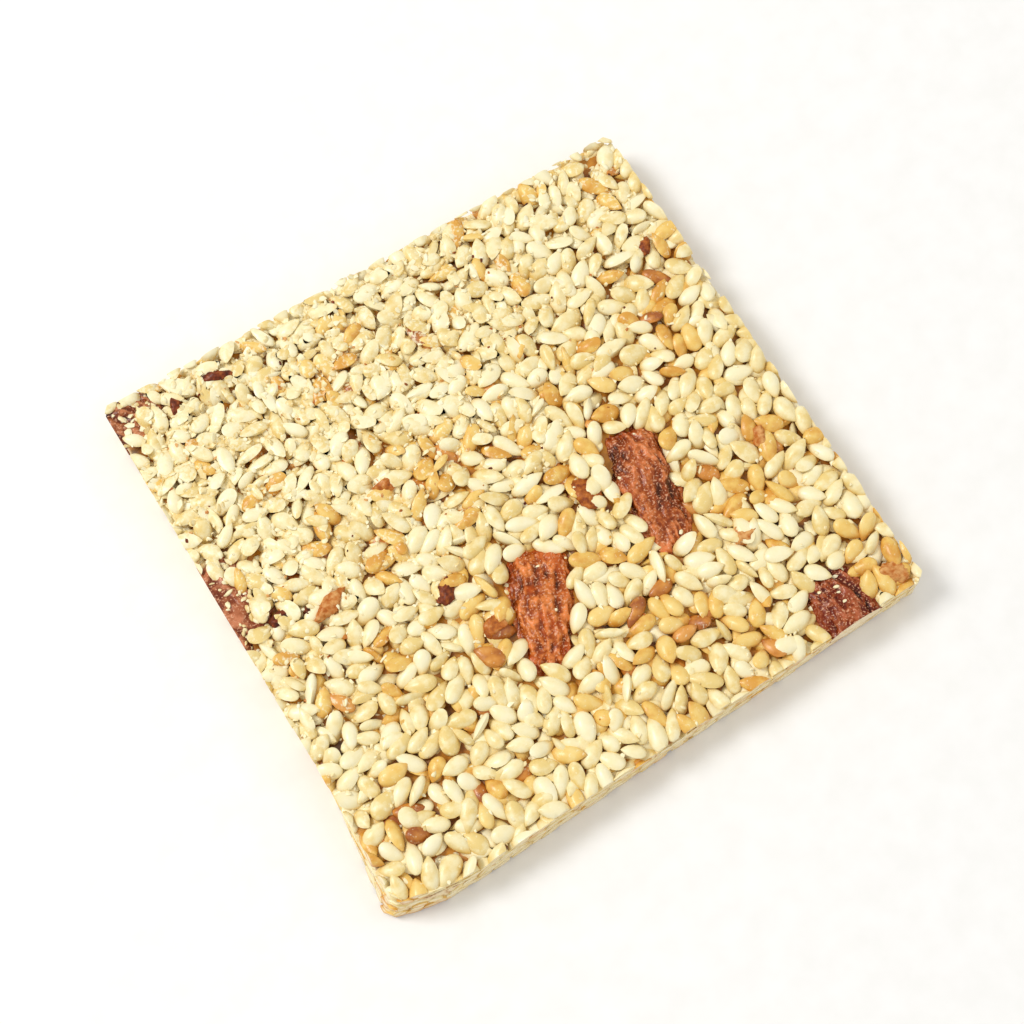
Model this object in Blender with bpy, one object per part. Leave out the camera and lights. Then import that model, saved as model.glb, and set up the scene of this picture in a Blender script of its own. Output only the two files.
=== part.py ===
"""Sesame almond slice: a thin square of toasted sesame seeds set in caramel, cut with a knife.

Pieces of almond are set in its top. Lengths are in metres, +Z is up and the slice lies on its
pressed underside, with the origin at the middle of that side. Run it in Blender 4.5.
"""

import math

import bmesh
import bpy
import numpy as np
from mathutils import Matrix, Vector, noise

MM = 0.001

# The slice, as the knife left it: corners of the top and of the base, going round
THICKNESS = 5.2 * MM
CORNER_ROUNDING = 1.8 * MM
TOP_CORNERS = [
    (-31.1 * MM, 30.2 * MM),
    (-30.7 * MM, -15.0 * MM),
    (-30.6 * MM, -29.5 * MM),
    (-25.5 * MM, -31.2 * MM),
    (32.2 * MM, -28.8 * MM),
    (30.5 * MM, 29.9 * MM),
]
# How far each corner of the base stands out from the one above it
BASE_FLARE = [
    (0.2 * MM, -0.2 * MM),
    (0.5 * MM, 0.0 * MM),
    (-1.5 * MM, -0.7 * MM),
    (-0.4 * MM, -0.3 * MM),
    (-0.2 * MM, 0.0 * MM),
    (-0.2 * MM, -0.2 * MM),
]

# The caramel that holds the seeds, seen between them
BED_INSET = 0.3 * MM
BED_BOTTOM = 0.4 * MM
BED_TOP = 4.68 * MM
# The seeds of the underside would stand this far out of it, and the tray pressed them flat.
PRESSED_BY = 0.3 * MM

# A hulled sesame seed
SEED_LENGTH = 3.3 * MM
SEED_WIDTH = 1.9 * MM
SEED_HEIGHT = 1.3 * MM
SEED_SPREAD = 0.07
SEED_TILT = math.radians(3)
SEED_ROLL = math.radians(2)
# A seed's widest part lies in the caramel, so it is wider there than what shows.
SHOULDERS = 1.12
SEED_PINCH = 0.5
TOP_SEEDS = 400
BASE_SEEDS = 28
WALL_SEEDS = 16
TOP_DRAW, BASE_DRAW, WALL_DRAW = 11, 23, 37
SINK = 0.12 * MM
JITTER = 0.35
WALL_LAYERS = (1.35 * MM, 3.55 * MM, 2.45 * MM)
WALL_LAYER_SPREAD = 0.25 * MM
WALL_HEADING, WALL_ROLL = 0.35, 0.6

# Settling: each seed is three discs along its length, from the blunt end to the tip
SETTLE_STEPS = 120
NEIGHBOUR_STEPS = 15
DISC_PLACES = (-0.29, 0.0, 0.29)
DISC_RADII = (0.44, 0.5, 0.34)
CLEARANCE = 1.1
PUSH, TURN = 0.18, 0.5
ALMOND_MARGIN = 0.85

# The pocket's flats come nearer to the almond than its corners do, by less than the rest.
POCKET_GROWTH = 0.5 * MM
ALMOND_SEGMENTS, ALMOND_RINGS = 22, 12
POCKET_SEGMENTS, POCKET_RINGS = 14, 8
RIDGE_HEIGHT = 0.05
LUMP_HEIGHT = 0.06

# Almond pieces: middle, length, width, depth, height of the top, heading of the narrow end
ALMONDS = {
    "almond_middle": {
        "middle": (13.2 * MM, -6.2 * MM),
        "size": (14.8 * MM, 6.4 * MM, 4.0 * MM),
        "top": 5.35 * MM,
        "heading": math.radians(-99),
        "taper": 0.25,
    },
    "almond_front": {
        "middle": (-3.0 * MM, -11.8 * MM),
        "size": (14.6 * MM, 6.6 * MM, 4.0 * MM),
        "top": 5.3 * MM,
        "heading": math.radians(-113),
        "taper": 0.5,
    },
    "almond_right_corner": {
        "middle": (23.6 * MM, -27.6 * MM),
        "size": (12.5 * MM, 6.6 * MM, 4.0 * MM),
        "top": 5.2 * MM,
        "heading": math.radians(95),
        "taper": 0.2,
    },
    "almond_left_corner": {
        "middle": (-29.4 * MM, 28.4 * MM),
        "size": (9.5 * MM, 7.0 * MM, 3.8 * MM),
        "top": 5.1 * MM,
        "heading": math.radians(-40),
        "taper": 0.3,
    },
    "almond_left_edge": {
        "middle": (-31.0 * MM, 4.9 * MM),
        "size": (11.5 * MM, 10.0 * MM, 3.8 * MM),
        "top": 5.15 * MM,
        "heading": math.radians(-80),
        "taper": 0.3,
    },
}

SEED_COLOR = (0.83, 0.68, 0.34, 1.0)
ALMOND_COLOR = (0.33, 0.09, 0.03, 1.0)


def clear_scene():
    for obj in list(bpy.data.objects):
        bpy.data.objects.remove(obj, do_unlink=True)


def new_collection(name):
    collection = bpy.data.collections.new(name)
    bpy.context.scene.collection.children.link(collection)
    return collection


def material(name, color, roughness):
    made = bpy.data.materials.new(name)
    made.use_nodes = True
    shader = made.node_tree.nodes["Principled BSDF"]
    shader.inputs["Base Color"].default_value = color
    shader.inputs["Roughness"].default_value = roughness
    shader.inputs["Metallic"].default_value = 0.0
    return made


def to_object(bm, name, collection):
    mesh = bpy.data.meshes.new(name)
    bm.to_mesh(mesh)
    bm.free()
    obj = bpy.data.objects.new(name, mesh)
    collection.objects.link(obj)
    return obj


def middle_of_base():
    """The middle of the base's bounding rectangle, which becomes the origin."""
    corners = [
        (x + dx, y + dy) for (x, y), (dx, dy) in zip(TOP_CORNERS, BASE_FLARE)
    ] + TOP_CORNERS
    xs, ys = zip(*corners)
    return Vector(((min(xs) + max(xs)) / 2, (min(ys) + max(ys)) / 2))


def corners_at(height, inset=0.0):
    """The slice's corners at a height above its base, moved in from each cut."""
    origin = middle_of_base()
    flare = 1 - height / THICKNESS
    points = [
        Vector((x + dx * flare, y + dy * flare)) - origin
        for (x, y), (dx, dy) in zip(TOP_CORNERS, BASE_FLARE)
    ]
    if not inset:
        return points
    moved = []
    for i, point in enumerate(points):
        before = (point - points[i - 1]).normalized()
        after = (points[(i + 1) % len(points)] - point).normalized()
        # The corners go round anticlockwise, so the inside lies to the left of each cut.
        inward = Vector((-before.y - after.y, before.x + after.x)).normalized()
        turn = math.sqrt((1 + before.dot(after)) / 2)
        moved.append(point + inward * (inset / turn))
    return moved


def slab_block(name, collection, bottom, top, inset):
    """A block of the slice's outline between two heights, with its upright edges rounded."""
    bm = bmesh.new()
    low = [bm.verts.new((p.x, p.y, bottom)) for p in corners_at(bottom, inset)]
    face = bm.faces.new(low)
    grown = bmesh.ops.extrude_face_region(bm, geom=[face])["geom"]
    high = [v for v in grown if isinstance(v, bmesh.types.BMVert)]
    targets = corners_at(top, inset)
    starts = corners_at(bottom, inset)
    for vert in high:
        near = min(range(len(starts)), key=lambda i: (starts[i] - vert.co.xy).length)
        vert.co = (targets[near].x, targets[near].y, top)
    upright = [e for e in bm.edges if abs(e.verts[0].co.z - e.verts[1].co.z) > (top - bottom) / 2]
    bmesh.ops.bevel(
        bm, geom=upright, offset=CORNER_ROUNDING, segments=3, profile=0.5, material=-1, affect="EDGES"
    )
    bmesh.ops.recalc_face_normals(bm, faces=bm.faces)
    return to_object(bm, name, collection)


def inside_outline(points, corners):
    """Which points lie inside a convex outline that goes round anticlockwise."""
    inside = np.ones(len(points), bool)
    for i, start in enumerate(corners):
        along = corners[(i + 1) % len(corners)] - start
        across = (points[:, 1] - start.y) * along.x - (points[:, 0] - start.x) * along.y
        inside &= across > 0
    return inside


def scatter(draw, count, corners):
    """Seed middles spread evenly over the outline: a jittered grid of the right density."""
    xs = [c.x for c in corners]
    ys = [c.y for c in corners]
    width, depth = max(xs) - min(xs), max(ys) - min(ys)
    pitch = math.sqrt(width * depth / count)
    columns, rows = round(width / pitch), round(depth / pitch)
    column, row = np.meshgrid(np.arange(columns), np.arange(rows))
    points = np.stack([column.ravel(), row.ravel()], axis=1) + 0.5
    points += draw.uniform(-JITTER, JITTER, points.shape)
    points *= [width / columns, depth / rows]
    points += [min(xs), min(ys)]
    return points[inside_outline(points, corners)]


def neighbours(points):
    """Pairs of seeds near enough to touch."""
    apart = points[:, None] - points[None]
    near = (apart**2).sum(axis=2) < (1.4 * SEED_LENGTH) ** 2
    return np.nonzero(np.triu(near, 1))


def settle(points, headings, sizes):
    """Pushes and turns the seeds until they lie side by side, each taken as three discs."""
    points, headings = points.copy(), headings.copy()
    reach = sizes[:, :1] * np.array(DISC_PLACES)
    radii = sizes[:, 1:2] * np.array(DISC_RADII)
    for step in range(SETTLE_STEPS):
        if step % NEIGHBOUR_STEPS == 0:
            first, second = neighbours(points)
        axis = np.stack([np.cos(headings), np.sin(headings)], axis=1)[:, None]
        discs = points[:, None] + axis * reach[..., None]
        apart = discs[first][:, :, None] - discs[second][:, None]
        distance = np.linalg.norm(apart, axis=3) + 1e-9
        touching = CLEARANCE * (radii[first][:, :, None] + radii[second][:, None])
        overlap = np.clip(touching - distance, 0, None)
        push = apart * (overlap / distance)[..., None]
        force = np.zeros_like(discs)
        np.add.at(force, first, push.sum(axis=2))
        np.add.at(force, second, -push.sum(axis=1))
        turn = (axis[..., 0] * force[..., 1] - axis[..., 1] * force[..., 0]) * reach
        points += PUSH * force.sum(axis=1)
        headings += TURN * turn.sum(axis=1) / sizes[:, 0] ** 2
    return points, headings


def seed_sizes(draw, count):
    """Length, width and height of each seed, the largest first."""
    scale = np.clip(draw.normal(1.0, SEED_SPREAD, count), 0.8, 1.18)
    order = np.argsort(-scale)
    plump = draw.uniform(0.93, 1.07, count)
    sizes = np.stack([SEED_LENGTH / plump, SEED_WIDTH * plump, SEED_HEIGHT * plump], axis=1)
    return sizes * scale[order, None]


def add_seed(name, collection, place, size):
    """A seed with a ridge along it, blunt at one end and drawn to a point at the other."""
    bm = bmesh.new()
    bmesh.ops.create_uvsphere(bm, u_segments=4, v_segments=3, radius=0.5)
    for vert in bm.verts:
        slim = SHOULDERS - SEED_PINCH * vert.co.z
        vert.co.y *= slim
    lie_down = Matrix.Rotation(math.radians(90), 4, "Y")
    scale = Matrix.Diagonal((size[0], size[1], size[2], 1.0))
    bmesh.ops.transform(bm, matrix=place @ scale @ lie_down, verts=bm.verts)
    return to_object(bm, name, collection)


def almond_cover(point, almond):
    """Under 1 where a point of the plan lies on the almond, by the square of its distance."""
    away = Vector(point) - almond_middle(almond)
    turn = Matrix.Rotation(-almond["heading"], 2)
    local = turn @ away
    length, width, _ = almond["size"]
    return (2 * local.x / length) ** 2 + (2 * local.y / width) ** 2


def almond_middle(almond):
    return Vector(almond["middle"]) - middle_of_base()


def clear_of_almonds(point):
    return all(almond_cover(point, almond) > ALMOND_MARGIN for almond in ALMONDS.values())


def add_flat_seeds(collection, side, count, draw_number, face_height):
    """Seeds lying at random headings over the top (side 1) or the underside (side -1)."""
    draw = np.random.default_rng(draw_number)
    corners = corners_at(THICKNESS if side > 0 else 0.0, SEED_WIDTH * 0.3)
    points = scatter(draw, count, corners)
    sizes = seed_sizes(draw, len(points))
    headings = draw.uniform(0, 2 * math.pi, len(points))
    points, headings = settle(points, headings, sizes)
    tilts = draw.normal(0, SEED_TILT, len(points))
    rolls = draw.normal(0, SEED_ROLL, len(points))
    sinks = draw.uniform(0.0, SINK, len(points))
    for i, (x, y) in enumerate(points):
        if side > 0 and not clear_of_almonds((x, y)):
            continue
        height = face_height - side * (sizes[i, 2] / 2 + sinks[i])
        place = (
            Matrix.Translation((x, y, height))
            @ Matrix.Rotation(headings[i], 4, "Z")
            @ Matrix.Rotation(tilts[i], 4, "Y")
            @ Matrix.Rotation(rolls[i], 4, "X")
        )
        add_seed(f"flat_seed_{side}_{i}", collection, place, sizes[i])


def add_wall_seeds(collection):
    """Seeds in the cut sides, lying level and sticking out of the caramel until the knife."""
    draw = np.random.default_rng(WALL_DRAW)
    corners = corners_at(THICKNESS / 2, SEED_WIDTH * 0.2)
    edges = [(a, corners[(i + 1) % len(corners)]) for i, a in enumerate(corners)]
    lengths = np.array([(b - a).length for a, b in edges])
    steps = (np.arange(WALL_SEEDS) + 0.5) * lengths.sum() / WALL_SEEDS
    ends = np.cumsum(lengths)
    sizes = seed_sizes(draw, WALL_SEEDS)[draw.permutation(WALL_SEEDS)]
    for i, step in enumerate(steps):
        edge = int(np.searchsorted(ends, step))
        start, end = edges[edge]
        share = 1 - (ends[edge] - step) / lengths[edge]
        spot = start.lerp(end, share)
        along = (end - start).normalized()
        heading = math.atan2(along.y, along.x) + draw.normal(0, WALL_HEADING)
        height = WALL_LAYERS[i % len(WALL_LAYERS)] + draw.uniform(-1, 1) * WALL_LAYER_SPREAD
        place = (
            Matrix.Translation((spot.x, spot.y, height))
            @ Matrix.Rotation(heading, 4, "Z")
            @ Matrix.Rotation(draw.normal(0, SEED_TILT), 4, "Y")
            @ Matrix.Rotation(draw.uniform(-WALL_ROLL, WALL_ROLL), 4, "X")
        )
        add_seed(f"wall_seed_{i}", collection, place, sizes[i])


def evaluate(obj, name, collection):
    """A new object that holds the mesh as its modifiers leave it, in place of the old one."""
    graph = bpy.context.evaluated_depsgraph_get()
    mesh = bpy.data.meshes.new_from_object(obj.evaluated_get(graph))
    made = bpy.data.objects.new(name, mesh)
    made.matrix_world = obj.matrix_world
    collection.objects.link(made)
    bpy.data.objects.remove(obj, do_unlink=True)
    made.name = name
    mesh.name = name
    return made


def boolean(obj, operation, cutter=None, collection=None, solver="EXACT"):
    modifier = obj.modifiers.new(operation.title(), "BOOLEAN")
    modifier.operation = operation
    modifier.solver = solver
    if collection:
        modifier.operand_type = "COLLECTION"
        modifier.collection = collection
    else:
        modifier.object = cutter
    return modifier


def body_of(start, unseen):
    """The faces joined to one face through shared edges."""
    unseen.remove(start)
    body, queue = [start], [start]
    while queue:
        across = [edge.link_faces for edge in queue.pop().edges]
        # Two bodies that only touch share an edge with four faces, which joins nothing.
        for face in {face for faces in across if len(faces) == 2 for face in faces} & unseen:
            unseen.remove(face)
            queue.append(face)
            body.append(face)
    return body


def keep_largest_body(obj):
    """Drops loose scraps and fills sealed hollows, leaving the one outer surface."""
    bm = bmesh.new()
    bm.from_mesh(obj.data)
    bmesh.ops.remove_doubles(bm, verts=bm.verts, dist=0.001 * MM)
    bmesh.ops.triangulate(bm, faces=bm.faces)
    unseen = set(bm.faces)
    bodies = []
    while unseen:
        bodies.append(body_of(next(iter(unseen)), unseen))
    bodies.sort(key=len)
    scraps = [face for body in bodies[:-1] for face in body]
    bmesh.ops.delete(bm, geom=scraps, context="FACES")
    bm.to_mesh(obj.data)
    bm.free()


def almond_ball(almond, segments, rings, grow=0.0):
    """A ball drawn out along the almond and narrower towards its heading."""
    bm = bmesh.new()
    bmesh.ops.create_uvsphere(bm, u_segments=segments, v_segments=rings, radius=0.5)
    for vert in bm.verts:
        vert.co.x *= 1 - almond["taper"] * vert.co.z
        vert.co.y *= 1 - almond["taper"] * vert.co.z
    return bm, [size + 2 * grow for size in almond["size"]]


def lay_down(bm, almond, size):
    middle = almond_middle(almond)
    place = Matrix.Translation((middle.x, middle.y, almond["top"] - almond["size"][2] / 2))
    turn = Matrix.Rotation(almond["heading"], 4, "Z")
    lie_down = Matrix.Rotation(math.radians(90), 4, "Y")
    scale = Matrix.Diagonal((*size, 1.0))
    bmesh.ops.transform(bm, matrix=place @ turn @ scale @ lie_down, verts=bm.verts)


def pocket_shape(name, collection, almond):
    """The room for an almond in the slab, with few sides, all clear of its ridges."""
    bm, size = almond_ball(almond, POCKET_SEGMENTS, POCKET_RINGS, grow=POCKET_GROWTH)
    lay_down(bm, almond, size)
    return to_object(bm, name, collection)


def almond_shape(name, collection, almond):
    """A wrinkled almond, with ridges that run lengthwise and a few lumps."""
    bm, size = almond_ball(almond, ALMOND_SEGMENTS, ALMOND_RINGS)
    for vert in bm.verts:
        around = math.atan2(vert.co.y, vert.co.x)
        girth = math.hypot(vert.co.x, vert.co.y) * 2
        ridge = RIDGE_HEIGHT * girth * math.cos(around * ALMOND_SEGMENTS / 2)
        lump = LUMP_HEIGHT * noise.noise(vert.co * 5 + Vector(size) / MM)
        # The ridges stand at the stated width, and the furrows between them go inwards.
        vert.co.x *= 1 - RIDGE_HEIGHT + ridge + lump
        vert.co.y *= 1 - RIDGE_HEIGHT + ridge + lump
    lay_down(bm, almond, size)
    return to_object(bm, name, collection)


def remove_collection(collection):
    for obj in list(collection.objects):
        bpy.data.objects.remove(obj, do_unlink=True)
    bpy.data.collections.remove(collection)


def make_slab(parts, cutters):
    """Bed and seeds joined, pressed flat below, cut with the knife, and pocketed for the almonds."""
    seeds = new_collection("seeds")
    add_flat_seeds(seeds, 1, TOP_SEEDS, TOP_DRAW, THICKNESS)
    add_flat_seeds(seeds, -1, BASE_SEEDS, BASE_DRAW, -PRESSED_BY)
    add_wall_seeds(seeds)
    bed = slab_block("bed", parts, BED_BOTTOM, BED_TOP, BED_INSET)
    boolean(bed, "UNION", collection=seeds, solver="MANIFOLD")
    joined = evaluate(bed, "joined", parts)
    remove_collection(seeds)
    keep_largest_body(joined)
    boolean(joined, "INTERSECT", cutter=bpy.data.objects["tray_and_knife"], solver="MANIFOLD")
    cut = evaluate(joined, "cut", parts)
    keep_largest_body(cut)
    for name, almond in ALMONDS.items():
        pocket_shape(name + "_pocket", cutters, almond)
    boolean(cut, "DIFFERENCE", collection=cutters)
    slab = evaluate(cut, "sesame_slab", parts)
    keep_largest_body(slab)
    return slab


def make_almond(name, almond, parts):
    whole = almond_shape(name + "_whole", parts, almond)
    boolean(whole, "INTERSECT", cutter=bpy.data.objects["tray_and_knife"])
    piece = evaluate(whole, name, parts)
    keep_largest_body(piece)
    piece.data.shade_smooth()
    piece.data.set_sharp_from_angle(angle=math.radians(40))
    return piece


def main():
    clear_scene()
    parts = new_collection("sesame_almond_slice")
    knife = new_collection("knife")
    pockets = new_collection("almond_pockets")
    block = slab_block("tray_and_knife", knife, 0.0, 2 * THICKNESS, 0.0)
    block.hide_render = True
    block.display_type = "WIRE"
    slab = make_slab(parts, pockets)
    slab.data.materials.append(material("sesame in caramel", SEED_COLOR, 0.5))
    skin = material("roasted almond skin", ALMOND_COLOR, 0.35)
    for name, almond in ALMONDS.items():
        make_almond(name, almond, parts).data.materials.append(skin)
    remove_collection(pockets)
    remove_collection(knife)


main()
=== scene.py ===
"""Dresses the sesame almond slice: seeds in caramel, wrinkled almond pieces, crumbs and a studio.

The slice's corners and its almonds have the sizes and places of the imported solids. Each group
of pieces has an operator of its own.
"""

import math

import bmesh
import bpy
import numpy as np
from bpy.props import FloatProperty, FloatVectorProperty, IntProperty, PointerProperty
from bpy.types import Operator, Panel, PropertyGroup
from mathutils import Euler, Matrix, Vector, noise
from mathutils.bvhtree import BVHTree


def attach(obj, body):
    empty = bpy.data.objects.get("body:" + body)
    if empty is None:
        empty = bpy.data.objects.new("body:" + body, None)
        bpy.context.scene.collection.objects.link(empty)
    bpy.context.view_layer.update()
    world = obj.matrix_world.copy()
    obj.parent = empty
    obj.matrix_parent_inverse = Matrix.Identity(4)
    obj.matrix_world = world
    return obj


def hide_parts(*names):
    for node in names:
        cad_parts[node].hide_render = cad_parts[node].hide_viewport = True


bl_info = {
    "name": "Sesame almond slice",
    "version": (1, 0, 0),
    "blender": (4, 5, 0),
    "location": "3D View > Sidebar > Sesame slice",
    "description": "Builds a slice of sesame seeds and almonds in caramel, with its studio",
    "category": "Add Mesh",
}

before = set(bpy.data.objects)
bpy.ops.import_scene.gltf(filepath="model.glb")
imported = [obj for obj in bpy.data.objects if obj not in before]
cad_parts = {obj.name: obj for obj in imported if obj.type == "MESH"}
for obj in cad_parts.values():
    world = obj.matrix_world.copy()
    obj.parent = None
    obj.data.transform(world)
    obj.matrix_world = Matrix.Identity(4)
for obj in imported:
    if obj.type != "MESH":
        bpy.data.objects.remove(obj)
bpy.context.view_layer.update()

MM = 0.001
DOWN = Vector((0, 0, -1))

# The knife's cuts: corners of the top, and how far the base stands out under each
THICKNESS = 5.2 * MM
CORNER_ROUNDING = 1.8 * MM
TOP_CORNERS = [
    (-31.1 * MM, 30.2 * MM),
    (-30.7 * MM, -15.0 * MM),
    (-30.6 * MM, -29.5 * MM),
    (-25.5 * MM, -31.2 * MM),
    (32.2 * MM, -28.8 * MM),
    (30.5 * MM, 29.9 * MM),
]
BASE_FLARE = [
    (0.2 * MM, -0.2 * MM),
    (0.5 * MM, 0.0 * MM),
    (-1.5 * MM, -0.7 * MM),
    (-0.4 * MM, -0.3 * MM),
    (-0.2 * MM, 0.0 * MM),
    (-0.2 * MM, -0.2 * MM),
]

# Each almond: its skin's shade, the paler and the warmer one, then in plan its middle, length,
# width and depth, the height of its top, its heading, how narrow its far end is, the share of
# crumbs that stay on it, and how much of it the seeds leave bare
ALMONDS = {
    "almond_middle": {
        "shades": ("#934013", "#b7642f", "#9c3c0a"),
        "middle": (13.2 * MM, -6.2 * MM),
        "size": (14.8 * MM, 6.4 * MM, 4.0 * MM),
        "top": 5.35 * MM,
        "heading": math.radians(-99),
        "taper": 0.25,
        "crumbs": 0.25,
        "bare": 0.86,
    },
    "almond_front": {
        "shades": ("#a0450c", "#c26b2b", "#ba4806"),
        "middle": (-3.0 * MM, -11.8 * MM),
        "size": (14.6 * MM, 6.6 * MM, 4.0 * MM),
        "top": 5.3 * MM,
        "heading": math.radians(-113),
        "taper": 0.5,
        "crumbs": 0.25,
        "bare": 0.8,
    },
    "almond_right_corner": {
        "shades": ("#6e2107", "#95471d", "#7e2604"),
        "middle": (23.6 * MM, -27.6 * MM),
        "size": (12.5 * MM, 6.6 * MM, 4.0 * MM),
        "top": 5.2 * MM,
        "heading": math.radians(95),
        "taper": 0.2,
        "crumbs": 0.7,
        "bare": 0.62,
    },
    "almond_left_corner": {
        "shades": ("#76361a", "#a5633a", "#863b12"),
        "middle": (-29.4 * MM, 28.4 * MM),
        "size": (9.5 * MM, 7.0 * MM, 3.8 * MM),
        "top": 5.1 * MM,
        "heading": math.radians(-40),
        "taper": 0.3,
        "crumbs": 1.0,
        "bare": 0.16,
    },
    "almond_left_edge": {
        "shades": ("#7e3a20", "#a8643f", "#904016"),
        "middle": (-31.0 * MM, 4.9 * MM),
        "size": (11.5 * MM, 10.0 * MM, 3.8 * MM),
        "top": 5.15 * MM,
        "heading": math.radians(-80),
        "taper": 0.3,
        "crumbs": 1.0,
        "bare": 0.3,
    },
}

# Seeds by layer: height of the layer's middle, seeds wanted, tilt in degrees, number of the random
# draw, spacing, and how far inside the knife's cuts their middles end
SEED = Vector((3.25 * MM, 1.76 * MM, 1.03 * MM))
SEED_SPREAD = 0.08
SETTLE_STEPS = 110
LAPPED = -0.35 * MM
LAYERS = {
    "under": {"height": 3.98 * MM, "count": 880, "tilt": 14, "draw": 5, "spacing": 0.86, "inset": LAPPED},
    "top": {"height": 4.6 * MM, "count": 990, "tilt": 13, "draw": 11, "spacing": 0.86, "inset": LAPPED},
    "loose": {"height": 4.86 * MM, "count": 340, "tilt": 12, "draw": 17, "spacing": 1.0, "inset": 1.0 * MM},
    "base": {"height": 0.46 * MM, "count": 700, "tilt": 4, "draw": 23, "spacing": 0.93, "inset": LAPPED},
}
SEED_REACH = 0.6 * SEED.x
HEIGHT_SPREAD = 0.2 * MM
ON_EDGE_SHARE = 0.06
# Seeds of the lower layer are a little darker: more of them are golden or toasted.
UNDER_DARKER = 0.1
# The loose layer: the share of its seeds that lie where it is firm, how many more where it is
# crumbly, and how much shorter the broken ones are there
LOOSE_SHARE, LOOSE_MORE, BROKEN_OFF = 0.12, 0.75, 0.42
# Seeds lap over an almond's rim: how high they lie on it, and how far up they reach.
RIM_LIFT, RIM_REACH = 0.1 * MM, 0.45 * MM
KINDS = ("pale", "golden", "toasted")
TOASTED_FROM, GOLDEN_FROM = 0.58, 0.24
WALL_LAYERS = [0.6 * MM, 1.15 * MM, 1.75 * MM, 2.35 * MM, 2.95 * MM, 3.5 * MM]
WALL_STEP = 1.95 * MM
WALL_DEPTH, WALL_SPREAD = 0.7 * MM, 0.25 * MM
WALL_DRAW, CRUMB_DRAW, CHIP_DRAW = 37, 41, 53
# The roller pressed the top flat at this height, lower where it is crumbly, and not quite evenly.
ROLLED_AT, ROLLED_LOW, ROLLED_SPREAD = 5.42 * MM, 5.2 * MM, 0.12 * MM

# Clusters of darker seeds: x, y and radius in millimetres, and how much darker, or paler if below 0
CLUSTERS = (
    (-9.4, 24.4, 2.7, 0.45),
    (1.3, 20.5, 1.5, 0.9),
    (-3.1, 9.8, 2.4, 0.75),
    (4.3, 11.1, 2.1, 0.4),
    (10.4, 10.3, 1.8, 0.4),
    (4.5, 5.2, 2.1, 0.4),
    (6.1, -0.1, 1.8, 0.8),
    (23.3, 9.0, 2.7, 0.45),
    (27.9, 9.9, 1.8, 0.35),
    (29.5, 28.4, 1.8, 0.35),
    (-18.6, -5.8, 2.9, 0.38),
    (-26.1, -8.1, 1.2, 0.9),
    (-15.5, -14.4, 2.4, 0.4),
    (-17.5, -23.4, 2.7, 0.55),
    (-7.9, -9.7, 2.1, 0.75),
    (5.2, -9.6, 1.8, 0.45),
    (9.4, -18.6, 3.5, 0.42),
    (4.6, -24.4, 2.4, 0.42),
    (25.9, -6.2, 1.8, 0.8),
    (23.9, -12.9, 1.8, 0.7),
    (27.0, -24.9, 1.8, 0.55),
    (-19.4, 17.4, 2.4, 0.3),
    (-29.8, 20.1, 1.8, 0.3),
    (-12.6, 14.4, 1.8, 0.3),
    (17.2, -1.4, 1.4, 0.6),
    (-14.0, -24.0, 9.0, -0.14),
    (-24.0, -13.0, 7.0, -0.1),
)

# Small bits of almond: x, y, length, width and height in millimetres, heading in degrees, tone
CHIPS = (
    (-21.3, 0.6, 4.2, 2.4, 1.2, 20, 0.62),
    (-23.4, 0.9, 1.8, 1.0, 0.7, 40, 0.05),
    (-10.4, -4.3, 2.6, 1.9, 1.15, 60, 0.22),
    (-10.2, 8.5, 2.2, 1.6, 1.15, -30, 0.55),
    (7.2, -3.1, 3.4, 2.4, 1.2, -80, 0.42),
    (26.6, 17.5, 2.4, 1.5, 1.1, 50, 0.35),
    (18.8, -14.6, 3.0, 2.4, 1.1, 10, 0.75),
    (25.9, -6.5, 2.2, 1.8, 1.15, 80, 0.68),
    (29.2, -26.0, 3.0, 2.2, 1.2, -30, 0.7),
    (-19.3, 28.2, 3.8, 1.2, 1.1, -20, 0.18),
    (-8.0, -10.1, 2.4, 2.0, 1.1, 30, 0.5),
    (-24.3, 27.2, 2.0, 1.2, 1.2, 70, 0.2),
    (-26.5, 1.8, 2.2, 1.3, 1.2, 10, 0.12),
)
CHIP_MIDDLE = 4.75 * MM
# The jagged sides take some of a bit away, so its ball is so much larger than the size above.
CHIP_SWELL = (1.25 * MM, 1.25 * MM, 1.4 * MM)

CRUMB_SHAPES = 6
FLECK_SHARE = 0.08

# How square a chopped almond is, where 2 is an ellipse and more is nearer to a rectangle, and how
# thick its skin is
SQUARENESS = 3.2
SKIN = 0.14 * MM

# The knife: how unevenly it cuts seeds, how much of a sharp corner crumbles off, how far past a
# corner its cut still counts, and the share of a seed under which a sliver falls off
UNEVEN_CUT = 0.16 * MM
BLUNTED = 0.45 * MM
PAST_CORNER = 1.0 * MM
SLIVER = 0.35

# The caramel bed: how far it stays inside the cuts, its underside and top, and the net and lumps
# of its surface
BED_INSET = 0.2 * MM
BED_BOTTOM = 0.35 * MM
BED_TOP = 3.85 * MM
BED_NET, BED_LUMPS, LUMP_SIZE = 0.4 * MM, 0.35 * MM, 1.1 * MM

# Finishes: how dark the painted shade in a pit is beside the rest, what a film of caramel lets
# through of red, green and blue where it paints shade round a seed's lower half, a dull surface,
# and the sockets of the mix node that hold colours
PAINTED_PIT_SHADE = 0.22
CARAMEL_FILM_AND_SHADE = (0.92, 0.8, 0.52)
DULLED = {"Specular IOR Level": 0.25, "Coat Roughness": 0.12}
MIX_UNDER, MIX_OVER, MIX_COLOUR = 6, 7, 2

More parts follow.
